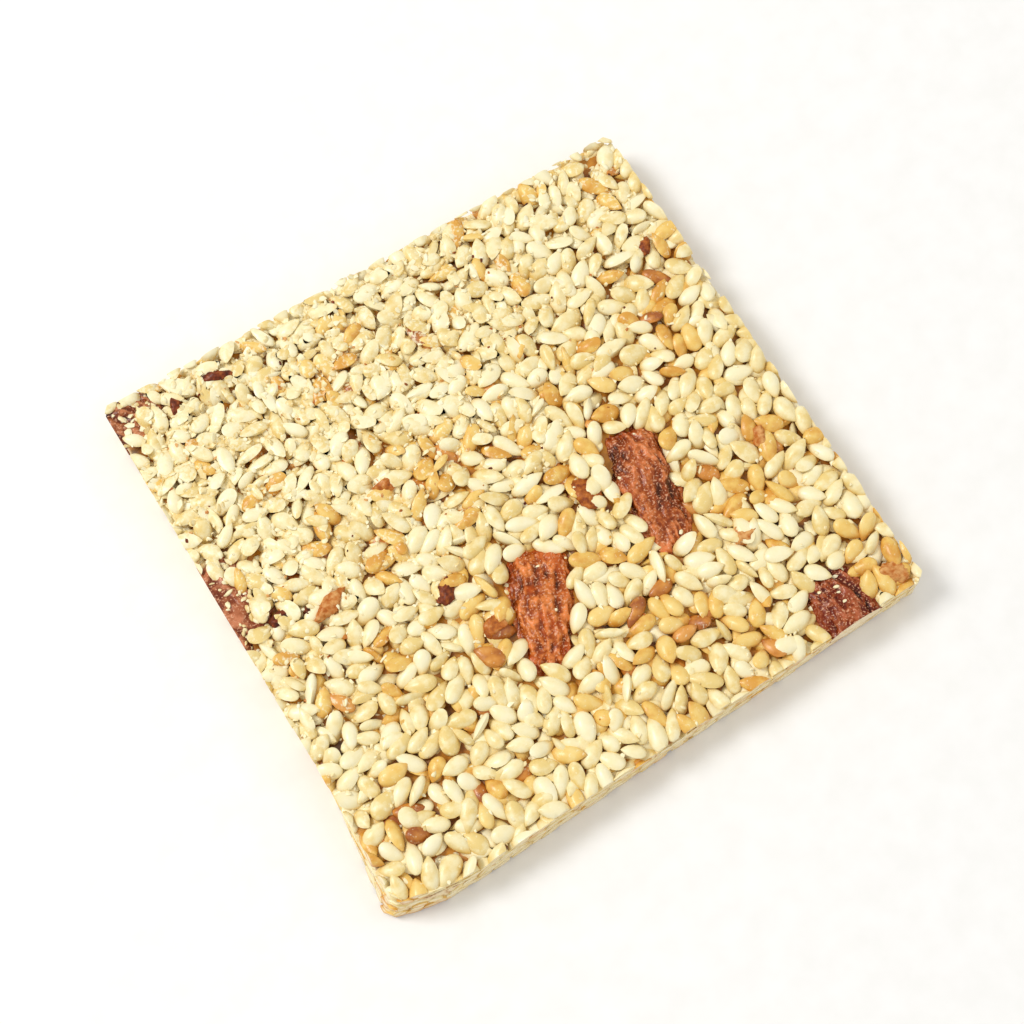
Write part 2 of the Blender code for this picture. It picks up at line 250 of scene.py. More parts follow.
# The studio in metres: half the floor's side, how far it lies below the pressed seeds, which end
# at height 0, the lamps' places, sizes and watts, and the camera's direction and distance
FLOOR_HALF, FLOOR_DROP = 1.5, 0.02 * MM
SKY, SKY_STRENGTH = (1.0, 0.99, 0.97, 1.0), 0.62
LAMPS = (
    ("key", (-0.3, 0.25, 0.5), 0.22, 2.15),
    ("fill", (0.35, -0.25, 0.45), 0.5, 0.5),
)
LENS_MM, SENSOR_MM, NEAREST = 85, 36, 0.01
VIEW_AZIMUTH, VIEW_ELEVATION, VIEW_DISTANCE = math.radians(-31.0), math.radians(72.6), 0.25


def linear(code):
    """An sRGB hex colour as the linear values that a shader takes."""
    parts = [int(code[i : i + 2], 16) / 255 for i in (1, 3, 5)]
    return tuple(c / 12.92 if c <= 0.04045 else ((c + 0.055) / 1.055) ** 2.4 for c in parts)


def colour(name, description, code):
    return FloatVectorProperty(
        name=name, description=description, subtype="COLOR", size=3, min=0, max=1, default=linear(code)
    )


def amount(name, description, default):
    return FloatProperty(
        name=name, description=description, subtype="FACTOR", min=0, max=1, default=default
    )


class SliceSettings(PropertyGroup):
    """Colours and amounts that a user would change."""

    pale: colour("Pale seed", "Colour of a lightly toasted hulled seed", "#f9ebb8")
    golden: colour("Golden seed", "Colour of a seed toasted to gold", "#efc566")
    toasted: colour("Toasted seed", "Colour of a seed toasted to amber", "#d0862f")
    caramel: colour("Caramel", "Colour of the caramel in the gaps", "#a8681a")
    crumbs: IntProperty(
        name="Crumbs", description="Broken bits of seed on the top", default=3600, min=0, max=6000
    )
    almond_gloss: amount("Almond gloss", "How much caramel coats the almonds", 0.16)
    glaze: amount("Glaze", "How much caramel coats the seeds", 0.3)


# Plan of the slice


def middle_of_plan():
    """The middle of the box round the slice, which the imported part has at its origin."""
    corners = [(x + dx, y + dy) for (x, y), (dx, dy) in zip(TOP_CORNERS, BASE_FLARE)] + TOP_CORNERS
    xs, ys = zip(*corners)
    return Vector(((min(xs) + max(xs)) / 2, (min(ys) + max(ys)) / 2))


MIDDLE = middle_of_plan()


def corners_at(height, inset=0.0):
    """The slice's corners at a height above its base, moved in from each cut."""
    flare = 1 - height / THICKNESS
    points = [
        Vector((x + dx * flare, y + dy * flare)) - MIDDLE
        for (x, y), (dx, dy) in zip(TOP_CORNERS, BASE_FLARE)
    ]
    moved = []
    for i, point in enumerate(points):
        before = (point - points[i - 1]).normalized()
        after = (points[(i + 1) % len(points)] - point).normalized()
        inward = Vector((-before.y - after.y, before.x + after.x)).normalized()
        turn = math.sqrt((1 + before.dot(after)) / 2)
        moved.append(point + inward * (inset / turn))
    return moved


def inside_outline(points, corners):
    """Which points lie inside: those from which a line meets the outline an odd number of times."""
    inside = np.zeros(len(points), bool)
    for i, start in enumerate(corners):
        end = corners[(i + 1) % len(corners)]
        along = end - start
        level = (start.y > points[:, 1]) != (end.y > points[:, 1])
        across = (points[:, 0] - start.x) * along.y - (points[:, 1] - start.y) * along.x
        inside ^= level & ((across < 0) == (along.y > 0))
    return inside


def almond_middle(almond):
    return Vector(almond["middle"]) - MIDDLE


def almond_cover(point, almond):
    """Under 1 where a point of the plan lies on the almond, by the square of its distance."""
    local = Matrix.Rotation(-almond["heading"], 2) @ (Vector(point) - almond_middle(almond))
    length, width, _ = almond["size"]
    along = 2 * local.x / length
    across = 2 * local.y / (width * max(1 - almond["taper"] * along / 2, 0.1))
    return (abs(along) ** SQUARENESS + abs(across) ** SQUARENESS) ** (2 / SQUARENESS)


def in_almond(spot, margin):
    """Whether a point lies in an almond's body, or within a margin above or below it."""
    for almond in ALMONDS.values():
        cover = almond_cover(spot.xy, almond)
        half = almond["size"][2] / 2
        if cover < 1 and abs(spot.z - almond["top"] + half) < half * math.sqrt(1 - cover) + margin:
            return True
    return False


# Laying the seeds


def scatter(draw, count, corners):
    """Seed middles spread evenly over the outline: a jittered grid of the right density."""
    xs = [c.x for c in corners]
    ys = [c.y for c in corners]
    width, depth = max(xs) - min(xs), max(ys) - min(ys)
    pitch = math.sqrt(width * depth / count)
    columns, rows = round(width / pitch), round(depth / pitch)
    column, row = np.meshgrid(np.arange(columns), np.arange(rows))
    points = np.stack([column.ravel(), row.ravel()], axis=1) + 0.5
    points += draw.uniform(-0.4, 0.4, points.shape)
    points *= [width / columns, depth / rows]
    points += [min(xs), min(ys)]
    return points[inside_outline(points, corners)]


def neighbours(points):
    """Pairs of seeds near enough to touch."""
    apart = points[:, None] - points[None]
    near = (apart**2).sum(axis=2) < (1.4 * SEED.x) ** 2
    return np.nonzero(np.triu(near, 1))


def settle(points, headings, sizes, spacing):
    """Pushes and turns the seeds until they lie side by side, each taken as three discs.

    The discs are in the middle, near the round end and near the tip, which is the narrowest.
    """
    points, headings = points.copy(), headings.copy()
    reach = sizes[:, :1] * np.array([-0.29, 0.0, 0.29])
    radii = sizes[:, 1:2] * np.array([0.44, 0.5, 0.34])
    for step in range(SETTLE_STEPS):
        if step % 15 == 0:
            first, second = neighbours(points)
        axis = np.stack([np.cos(headings), np.sin(headings)], axis=1)[:, None]
        discs = points[:, None] + axis * reach[..., None]
        apart = discs[first][:, :, None] - discs[second][:, None]
        distance = np.linalg.norm(apart, axis=3) + 1e-9
        touching = spacing * (radii[first][:, :, None] + radii[second][:, None])
        overlap = np.clip(touching - distance, 0, None)
        push = apart * (overlap / distance)[..., None]
        force = np.zeros_like(discs)
        np.add.at(force, first, push.sum(axis=2))
        np.add.at(force, second, -push.sum(axis=1))
        turn = (axis[..., 0] * force[..., 1] - axis[..., 1] * force[..., 0]) * reach
        points += 0.18 * force.sum(axis=1)
        headings += 0.5 * turn.sum(axis=1) / sizes[:, 0] ** 2
    return points, headings


def seed_sizes(draw, count):
    """Length, width and thickness of each seed: some are larger than others, and some plumper."""
    scale = np.clip(draw.normal(1.0, SEED_SPREAD, count), 0.76, 1.2)
    plump = draw.uniform(0.9, 1.1, count)
    sizes = np.stack([SEED.x / plump, SEED.y * plump, SEED.z * draw.uniform(0.85, 1.15, count)], axis=1)
    return sizes * scale[:, None]


def seed_shape(bend, ridge):
    """One hulled seed, a unit long: full and round at one end, drawn to a point at the other."""
    bm = bmesh.new()
    bmesh.ops.create_uvsphere(bm, u_segments=8, v_segments=9, radius=0.5)
    for vert in bm.verts:
        along = vert.co.z * 2
        round_girth = math.sqrt(max(1 - along * along, 0.0))
        if along > 0:
            girth = (1 - along**1.75) ** 0.8
        else:
            girth = (1 - abs(along) ** 2.4) ** 0.5
        slim = girth / round_girth if round_girth > 1e-4 else 1.0
        vert.co.x *= slim
        vert.co.y *= slim
        # The widest place is nearer to the round end.
        vert.co.z = along * (0.57 if along > 0 else 0.43)
        vert.co.y += bend * (along**2 - 0.3)
        vert.co.x *= 1 + ridge * math.cos(2 * math.atan2(vert.co.y, vert.co.x))
    lie_down = Matrix.Rotation(math.radians(90), 4, "Y")
    bmesh.ops.transform(bm, matrix=lie_down, verts=bm.verts)
    return bm


class Heap:
    """Small like shapes gathered into one mesh, with the values that their vertices carry."""

    def __init__(self):
        self.verts, self.faces, self.count = [], [], 0
        self.values = {"tone": [], "dust": [], "along": [], "low": [], "cut": []}

    def add(self, verts, faces, **values):
        self.verts.append(verts)
        self.faces.extend(tuple(v + self.count for v in face) for face in faces)
        for kind, parts in self.values.items():
            parts.append(np.broadcast_to(np.float32(values.get(kind, 0.0)), len(verts)))
        self.count += len(verts)

    def build(self, name, material):
        if not self.count:
            raise RuntimeError(f"{name} has nothing in it")
        mesh = bpy.data.meshes.new(name)
        mesh.from_pydata(np.concatenate(self.verts).tolist(), [], self.faces)
        for kind, parts in self.values.items():
            layer = mesh.attributes.new(kind, "FLOAT", "POINT")
            layer.data.foreach_set("value", np.concatenate(parts))
        mesh.shade_smooth()
        mesh.set_sharp_from_angle(angle=math.radians(55))
        mesh.update()
        return new_piece(name, mesh, material)


def new_piece(name, mesh, material):
    """An object of one material at the origin."""
    obj = bpy.data.objects.new(name, mesh)
    bpy.context.scene.collection.objects.link(obj)
    mesh.materials.clear()
    mesh.materials.append(material)
    return obj


def cuts_near(spot, reach, depth=0.0):
    """The knife's cuts within reach of a point, each as (point on the cut, outward normal).

    A cut is moved in by the depth, so that neighbours cut by one knife don't share a plane.
    """
    found = []
    low, high = corners_at(0.0), corners_at(THICKNESS)
    height = spot.z / THICKNESS
    here = [a.lerp(b, height) for a, b in zip(low, high)]
    for i, start in enumerate(here):
        j = (i + 1) % len(here)
        along = here[j] - start
        share = (spot.xy - start).dot(along) / along.length_squared
        past = PAST_CORNER / along.length
        normal = Vector((along.y, -along.x)).normalized()
        if -past < share < 1 + past and (spot.xy - start).dot(normal) > -reach:
            lean = (low[i].lerp(low[j], share) - high[i].lerp(high[j], share)).dot(normal)
            on_cut = Vector((*(start - normal * depth), spot.z))
            found.append((on_cut, Vector((*normal, lean / THICKNESS)).normalized()))
        # A sharp corner crumbles off, and a shallow one doesn't.
        corner = here[j]
        outward = along.normalized() - (here[(j + 1) % len(here)] - corner).normalized()
        if outward.length > 0.3:
            outward.normalize()
            if (spot.xy - corner).dot(outward) > -reach - BLUNTED:
                on_cut = Vector((*(corner - outward * (BLUNTED + depth)), spot.z))
                found.append((on_cut, outward.to_3d()))
    return found


def trim(bm, planes):
    """Cuts the shape off at each plane, and returns the faces that close the cuts."""
    closing = bm.faces.layers.int.new("closing")
    for point, normal in planes:
        geom = [*bm.verts, *bm.edges, *bm.faces]
        done = bmesh.ops.bisect_plane(
            bm, geom=geom, dist=1e-7, plane_co=point, plane_no=normal, clear_outer=True
        )
        rim = [e for e in done["geom_cut"] if isinstance(e, bmesh.types.BMEdge)]
        if rim:
            for face in bmesh.ops.edgenet_fill(bm, edges=rim)["faces"]:
                face.normal_update()
                if face.normal.dot(normal) < 0:
                    face.normal_flip()
                face[closing] = 1
    return [face for face in bm.faces if face[closing]]


def place_seed(heap, shape, place, size, tone, planes=(), roof=THICKNESS, dust=0.0):
    """Adds one seed to its heap, cut flush by the knife and pressed flat by tray and roller."""
    bm = shape.copy()
    along = bm.verts.layers.float.new("along")
    for vert in bm.verts:
        vert[along] = vert.co.x * 2
    bmesh.ops.transform(bm, matrix=place @ Matrix.Diagonal((*size, 1.0)), verts=bm.verts)
    faces = trim(bm, planes)
    # The middle of each cut face shows the flesh, and its rim the toasted outside.
    hearts = set(bmesh.ops.poke(bm, faces=faces)["verts"]) if faces else set()
    if bm.verts:
        middle = place.translation.z
        for vert in bm.verts:
            vert.co.z = min(max(vert.co.z, 0.0), roof)
        bm.verts.index_update()
        verts = np.array([v.co[:] for v in bm.verts])
        faces = [tuple(v.index for v in f.verts) for f in bm.faces]
        # A sliver left by the knife has fallen off.
        if np.ptp(verts, axis=0).max() > SLIVER * max(size):
            heap.add(
                verts,
                faces,
                tone=tone,
                dust=dust,
                along=[v[along] for v in bm.verts],
                low=np.clip(0.5 - (verts[:, 2] - middle) / size[2], 0, 1),
                cut=[float(v in hearts) for v in bm.verts],
            )
    bm.free()


# Bend and ridge of each shape that the seeds share
SEED_SHAPES = [seed_shape(*form) for form in ((0.0, 0.0), (0.05, 0.04), (-0.04, -0.03), (0.02, 0.07))]


def crumbly_at(x, y):
    """How crumbly the top is, from 0 to 1: most of all towards the left corner."""
    slope = (0.8 * y - 0.45 * x) / MM
    cloud = 9 * noise.noise(Vector((x, y, 0)) / (8 * MM))
    return min(max((slope + cloud + 5) / 30, 0.0), 1.0)


def toast_at(x, y, z):
    """How toasted the seeds are around a point: by named clusters and smaller chance ones."""
    spot = Vector((x, y, z))
    chance = 0.22 * noise.noise(spot / (7 * MM)) + 0.2 * noise.noise(spot / (3.2 * MM))
    for middle_x, middle_y, radius, darker in CLUSTERS:
        away = math.hypot(x / MM - middle_x, y / MM - middle_y) / radius
        chance += 0.85 * darker * math.exp(-away * away)
    return chance - 0.1 * crumbly_at(x, y)


def kind_of(draw, x, y, z, bias=0.0):
    """The kind of seed that lies at a point, and its tone within that kind."""
    score = toast_at(x, y, z) + 0.22 * draw.normal() + bias
    tone = draw.uniform()
    if score > TOASTED_FROM:
        return "toasted", tone
    if score > GOLDEN_FROM:
        return "golden", tone
    return "pale", tone


def rise_on_almond(x, y):
    """The height of the almond under a point, and the almond if it is bare there."""
    height, bare = 0.0, None
    for almond in ALMONDS.values():
        cover = almond_cover((x, y), almond)
        if cover < 1:
            bare = almond if cover < almond["bare"] else bare
            height = almond["top"] - almond["size"][2] / 2 * (1 - math.sqrt(1 - cover))
    return height, bare


def lay_seeds(heaps, name):
    """Fills the heaps with one layer of seeds lying side by side at random headings."""
    layer = LAYERS[name]
    draw = np.random.default_rng(layer["draw"])
    corners = corners_at(layer["height"], layer["inset"])
    points = scatter(draw, layer["count"], corners)
    sizes = seed_sizes(draw, len(points))
    headings = draw.uniform(0, 2 * math.pi, len(points))
    points, headings = settle(points, headings, sizes, layer["spacing"])
    for i, (x, y) in enumerate(points):
        crumbly = crumbly_at(x, y) if name != "base" else 0.0
        tilt, roll = np.radians(draw.normal(0, layer["tilt"], 2)) * (1 + 0.7 * crumbly)
        on_edge = draw.uniform() < ON_EDGE_SHARE and name in ("top", "under")
        roll = draw.uniform(0.9, 1.4) if on_edge else roll
        height = layer["height"] + draw.uniform(-HEIGHT_SPREAD, HEIGHT_SPREAD)
        kind, tone = kind_of(draw, x, y, height, UNDER_DARKER if name == "under" else 0.0)
        shape = SEED_SHAPES[draw.integers(len(SEED_SHAPES))]
        chance = draw.uniform()
        size = sizes[i]
        roof = ROLLED_AT + (ROLLED_LOW - ROLLED_AT) * crumbly - draw.uniform(0, ROLLED_SPREAD)
        if name == "loose":
            # On top lie whole seeds here and there, and broken ones where it is crumbly.
            if chance > LOOSE_SHARE + LOOSE_MORE * crumbly:
                continue
            size = size * (1 - BROKEN_OFF * crumbly * draw.uniform(0.3, 1.0))
        if name != "base":
            surface, bare = rise_on_almond(x, y)
            if surface and (bare or name == "under"):
                continue
            if surface:
                height = max(height, surface + RIM_LIFT)
                roof = max(roof, surface + RIM_REACH)
        turn = Euler((roll, tilt, headings[i])).to_matrix().to_4x4()
        planes = cuts_near(Vector((x, y, height)), SEED_REACH, draw.uniform(0, UNEVEN_CUT))
        place = Matrix.Translation((x, y, height)) @ turn
        dust = crumbly * draw.uniform(0.2, 1.0)
        place_seed(heaps[kind], shape, place, size, tone, planes, roof, dust)


def lay_wall_seeds(heaps):
    """Fills the heaps with seeds in the cut sides, lying in layers and cut flush by the knife."""
    draw = np.random.default_rng(WALL_DRAW)
    for height in WALL_LAYERS:
        corners = corners_at(height)
        for i, start in enumerate(corners):
            end = corners[(i + 1) % len(corners)]
            steps = max(1, round((end - start).length / WALL_STEP))
            along = (end - start).normalized()
            inward = Vector((-along.y, along.x))
            for step in range(steps):
                share = (step + draw.uniform(0.2, 0.8)) / steps
                spot = start.lerp(end, share) + inward * draw.uniform(0.0, WALL_DEPTH)
                spot = Vector((*spot, height + draw.uniform(-WALL_SPREAD, WALL_SPREAD)))
                if in_almond(spot, 0.2 * MM):
                    continue
                kind, tone = kind_of(draw, *spot)
                roll, tilt = draw.uniform(-0.6, 0.6), draw.normal(0, 0.25)
                turn = Euler((roll, tilt, draw.uniform(0, 2 * math.pi)))
                place = Matrix.Translation(spot) @ turn.to_matrix().to_4x4()
                size = SEED * draw.uniform(0.88, 1.1)
                shape = SEED_SHAPES[draw.integers(len(SEED_SHAPES))]
                planes = cuts_near(spot, SEED_REACH, draw.uniform(0, UNEVEN_CUT))
                place_seed(heaps[kind], shape, place, size, tone, planes)


# Materials


def add_node(material, kind, links=(), **settings):
    """One node with its settings, and links to it as (socket, node, output)."""
    tree = material.node_tree
    node = tree.nodes.new(kind)
    for key, value in settings.items():
        if key == "inputs":
            for socket, given in value.items():
                node.inputs[socket].default_value = given
        elif key == "stops":
            ramp = node.color_ramp
            while len(ramp.elements) < len(value):
                ramp.elements.new(0.5)
            for element, (place, shade) in zip(ramp.elements, value):
                element.position = place
                element.color = (*shade, 1.0)
        else:
            setattr(node, key, value)
    for socket, source, output in links:
        tree.links.new(source.outputs[output], node.inputs[socket])
    return node


# Each of these adds one node and gives back its output, as (node, output).


def place_of(material):
    """Where a point lies on the piece, in metres."""
    return add_node(material, "ShaderNodeTexCoord"), "Object"


def value_of(material, name):
    """A value that the vertices carry."""
    return add_node(material, "ShaderNodeAttribute", attribute_name=name), "Fac"


def grain_of(material, place, per_mm, detail):
    """Noise with so many lumps to a millimetre."""
    inputs = {"Scale": per_mm / MM, "Detail": detail}
    return add_node(material, "ShaderNodeTexNoise", [("Vector", *place)], inputs=inputs), "Fac"


def product(material, first, second):
    links = [(0, *first), (1, *second)]
    return add_node(material, "ShaderNodeMath", links, operation="MULTIPLY"), "Value"


def weighted(material, source, weight, added):
    """A value times its weight, plus another value."""
    links = [(0, *source), (2, *added)]
    node = add_node(material, "ShaderNodeMath", links, operation="MULTIPLY_ADD", inputs={1: weight})
    return node, "Value"


def fade(material, source, low, high, most=1.0, curve="SMOOTHSTEP"):
    """From 0 where a value is low to the most where it is high."""
    node = add_node(
        material,
        "ShaderNodeMapRange",
        [("Value", *source)],
        interpolation_type=curve,
        inputs={"From Min": low, "From Max": high, "To Min": 0.0, "To Max": most},
    )
    return node, "Result"


def shades_of(material, source, *stops):
    """A colour for each value, from stops given as (value, colour)."""
    return add_node(material, "ShaderNodeValToRGB", [("Fac", *source)], stops=stops), "Color"


def mix(material, share, under, over):
    """The colour under, and a share of the colour over it, which is plain or another node's."""
    links = [("Factor", *share), (MIX_UNDER, *under)]
    plain = {MIX_OVER: (*over, 1.0)} if len(over) == 3 else {}
    if not plain:
        links.append((MIX_OVER, *over))
    return add_node(material, "ShaderNodeMix", links, data_type="RGBA", inputs=plain), MIX_COLOUR


def relief(material, source, strength, depth):
    """Fine bumps with a real depth."""
    inputs = {"Strength": strength, "Distance": depth}
    return add_node(material, "ShaderNodeBump", [("Height", *source)], inputs=inputs), "Normal"


def dimmed(shade, share):
    return tuple(c * share for c in shade)


def make_finish(name, sockets, build):
    """A material whose colour, and relief if any, come from a function that adds their nodes."""
    made = bpy.data.materials.new(name)
    made.use_nodes = True
    shader = made.node_tree.nodes["Principled BSDF"]
    for socket, value in sockets.items():
        shader.inputs[socket].default_value = value
    for socket, (node, output) in build(made).items():
        made.node_tree.links.new(node.outputs[output], shader.inputs[socket])
    return made


def hulled_seed(name, light, base, dark, glaze):
    """Hulled sesame seed, toasted: waxy cream flesh, satin, browner at its tip and in blotches."""
    sockets = {"Roughness": 0.42, "IOR": 1.46, "Coat Weight": glaze, "Coat Roughness": 0.18}

    def build(made):
        place = place_of(made)
        # Blotches of toasting are about a millimetre across, and the grain of the skin is 0.15 mm.
        blotch = grain_of(made, place, 0.9, 3.0)
        grain = grain_of(made, place, 6.0, 2.0)
        shade = weighted(made, blotch, 0.6, product(made, value_of(made, "tone"), blotch))
        flesh = shades_of(made, shade, (0.22, light), (0.5, base), (0.85, dark))
        tipped = mix(made, fade(made, value_of(made, "along"), 0.72, 1.02, 0.55), flesh, dark)
        # The lower half of a seed is darker: partly caramel gathered there, and partly painted shade where
        # the seeds meet.
        film_and_shade = fade(made, value_of(made, "low"), 0.2, 0.75, 0.7)
        filmed_and_shaded = mix(made, film_and_shade, tipped, tuple(c * f for c, f in zip(dark, CARAMEL_FILM_AND_SHADE)))
        # Powder of crushed seed clings in specks of a third of a millimetre.
        powder = weighted(made, value_of(made, "dust"), 0.22, grain_of(made, place, 2.6, 3.0))
        powdered = mix(made, fade(made, powder, 0.6, 0.76, 0.62), filmed_and_shaded, linear("#fdf5cf"))
        inner = mix(made, value_of(made, "cut"), powdered, linear("#f9e7bd"))
        return {"Base Color": inner, "Normal": relief(made, grain, 0.35, 0.05 * MM)}

    return make_finish(name, sockets, build)


def hard_caramel(name, shade):
    """Boiled sugar, hard and glossy: amber where thin, random patches near black as painted pit shade, dull
    where cut.
    """
    sockets = {"Roughness": 0.38, "IOR": 1.42, "Coat Weight": 0.1, "Coat Roughness": 0.12}

    def build(made):
        place = place_of(made)
        # Light and dark patches are two millimetres across, and crushed seed in the cuts is 0.5 mm.
        cloud = grain_of(made, place, 0.42, 4.0)
        mash = grain_of(made, place, 1.9, 3.0)
        light = linear("#dd9a34")
        # The darkest patches are painted shade, standing for the dark pits between the seeds.
        body = shades_of(made, cloud, (0.3, dimmed(shade, PAINTED_PIT_SHADE)), (0.48, shade), (0.68, light))
        crushed = shades_of(
            made, mash, (0.32, linear("#a56c34")), (0.43, linear("#dcb67c")), (0.58, linear("#f2ddb0"))
        )
        return {"Base Color": mix(made, value_of(made, "side"), body, crushed)}

    return make_finish(name, sockets, build)


def almond_skin(name, heading, shades, gloss):
    """Roasted almond skin: thin and papery, in lengthwise wrinkles, under a film of caramel."""
    shade, pale, glow = (linear(code) for code in shades)
    # A near white colour: painted highlight on the ridges.
    ridge_highlight = tuple(min(1.0, c * 1.5 + 0.03) for c in pale)
    sockets = {"Roughness": 0.4, "IOR": 1.4, "Coat Weight": gloss, **DULLED}

    def build(made):
        place = place_of(made)
        stretched = {"Rotation": (0, 0, -heading), "Scale": (0.25, 1.0, 1.0)}
        turned = add_node(made, "ShaderNodeMapping", [("Vector", *place)], inputs=stretched)
        # Streaks lie along the almond, 0.6 mm wide. Mottling is 0.4 mm, and specks of dust with painted
        # glints are 0.25 mm.
        streak = grain_of(made, (turned, "Vector"), 1.7, 5.0)
        mottle = grain_of(made, place, 2.3, 4.0)
        patch = grain_of(made, place, 0.33, 2.0)
        speck_and_glint = grain_of(made, place, 4.4, 3.0)
        # Dark in the furrows and near white on the ridges: painted shade and painted highlight, over the
        # skin's own streaks and mottling.
        depth = weighted(made, mottle, 0.75, weighted(made, streak, 0.7, value_of(made, "furrow")))
        body = shades_of(
            made,
            fade(made, depth, 0.55, 1.65, curve="LINEAR"),
            (0.12, dimmed(shade, PAINTED_PIT_SHADE)),
            (0.34, dimmed(shade, 0.62)),
            (0.5, shade),
            (0.66, pale),
            (0.86, ridge_highlight),
        )
        warm = mix(made, fade(made, patch, 0.5, 0.68, 0.6), body, glow)
        # Pale specks: dust and sugar on the skin, and painted glints.
        dust_and_glints = mix(made, fade(made, speck_and_glint, 0.55, 0.65, 0.7), warm, linear("#e8b08a"))
        flesh = shades_of(
            made, mottle, (0.35, linear("#ecd09c")), (0.5, linear("#f5e0b4")), (0.65, linear("#faebcb"))
        )
        inner = mix(made, value_of(made, "cut"), dust_and_glints, flesh)
        return {"Base Color": inner, "Normal": relief(made, streak, 0.6, 0.14 * MM)}

    return make_finish(name, sockets, build)


def broken_almond(name):
    """Broken roasted almond: skin from near black to red-brown, and flesh from orange to tan."""
    sockets = {"Roughness": 0.5, "Coat Weight": 0.1, **DULLED}

    def build(made):
        patch = grain_of(made, place_of(made), 1.9, 5.0)
        mixed = weighted(made, patch, 1.1, value_of(made, "tone"))
        shade = shades_of(
            made,
            fade(made, mixed, 0.4, 1.45, curve="LINEAR"),
            (0.05, linear("#2e0c03")),
            (0.36, linear("#7c3412")),
            (0.66, linear("#bd6a24")),
            (0.95, linear("#e0a866")),
        )
        return {"Base Color": shade, "Normal": relief(made, patch, 0.6, 0.18 * MM)}

    return make_finish(name, sockets, build)


def studio_paper(name):
    """Matt white paper of a studio sweep, with fibres of about 3 mm."""

    def build(made):
        fibre = grain_of(made, place_of(made), 0.3, 2.0)
        return {"Base Color": shades_of(made, fibre, (0.3, linear("#f6f5f2")), (0.7, linear("#faf9f7")))}

    return make_finish(name, {"Roughness": 0.9}, build)


# Shapes


def bed_mesh():
    """The caramel inside the slice: a block of its outline, with a surface of small lumps."""
    bm = bmesh.new()
    low = [bm.verts.new((p.x, p.y, BED_BOTTOM)) for p in corners_at(BED_BOTTOM, BED_INSET)]
    face = bm.faces.new(low)
    grown = bmesh.ops.extrude_face_region(bm, geom=[face])["geom"]
    high = [v for v in grown if isinstance(v, bmesh.types.BMVert)]
    starts, targets = corners_at(BED_BOTTOM, BED_INSET), corners_at(BED_TOP, BED_INSET)
    for vert in high:
        near = min(range(len(starts)), key=lambda i: (starts[i] - vert.co.xy).length)
        vert.co = (*targets[near], BED_TOP)
    upright = [e for e in bm.edges if abs(e.verts[0].co.z - e.verts[1].co.z) > (BED_TOP - BED_BOTTOM) / 2]
    bmesh.ops.bevel(
        bm, geom=upright, offset=CORNER_ROUNDING, segments=4, profile=0.5, material=-1, affect="EDGES"
    )
    bmesh.ops.recalc_face_normals(bm, faces=bm.faces)
    mesh = bpy.data.meshes.new("caramel_bed")
    bm.to_mesh(mesh)
    bm.free()
    return mesh


def lumpy(obj, voxel, height, scale):
    """Gives a closed block an even net of faces and a lumpy surface, and applies it."""
    remesh = obj.modifiers.new("Net", "REMESH")
    remesh.mode = "VOXEL"
    remesh.voxel_size = voxel
    mesh = bpy.data.meshes.new_from_object(obj.evaluated_get(bpy.context.evaluated_depsgraph_get()))
    obj.modifiers.clear()
    bm = bmesh.new()
    bm.from_mesh(mesh)
    bm.normal_update()
    side = bm.verts.layers.float.new("side")
    for vert in bm.verts:
        # The knife leaves the sides smoother than the top.
        vert[side] = min(1.0, 1.6 * (1 - abs(vert.normal.z)))
        rough = height * (1 - 0.6 * vert[side])
        vert.co += vert.normal * rough * noise.noise(vert.co / scale)
    bm.to_mesh(mesh)
    bm.free()
    mesh.shade_smooth()
    obj.data = mesh


def squared(plan_x, plan_y, power):
    """How much further out a point lies on a rounded rectangle than on an ellipse."""
    reach = math.hypot(plan_x, plan_y)
    if reach < 1e-6:
        return 1.0
    return (abs(plan_x / reach) ** power + abs(plan_y / reach) ** power) ** (-1 / power)


def ridged(point):
    """Noise with sharp ridges, from -1 in the furrows to 1."""
    return 1 - 4 * abs(noise.noise(point))


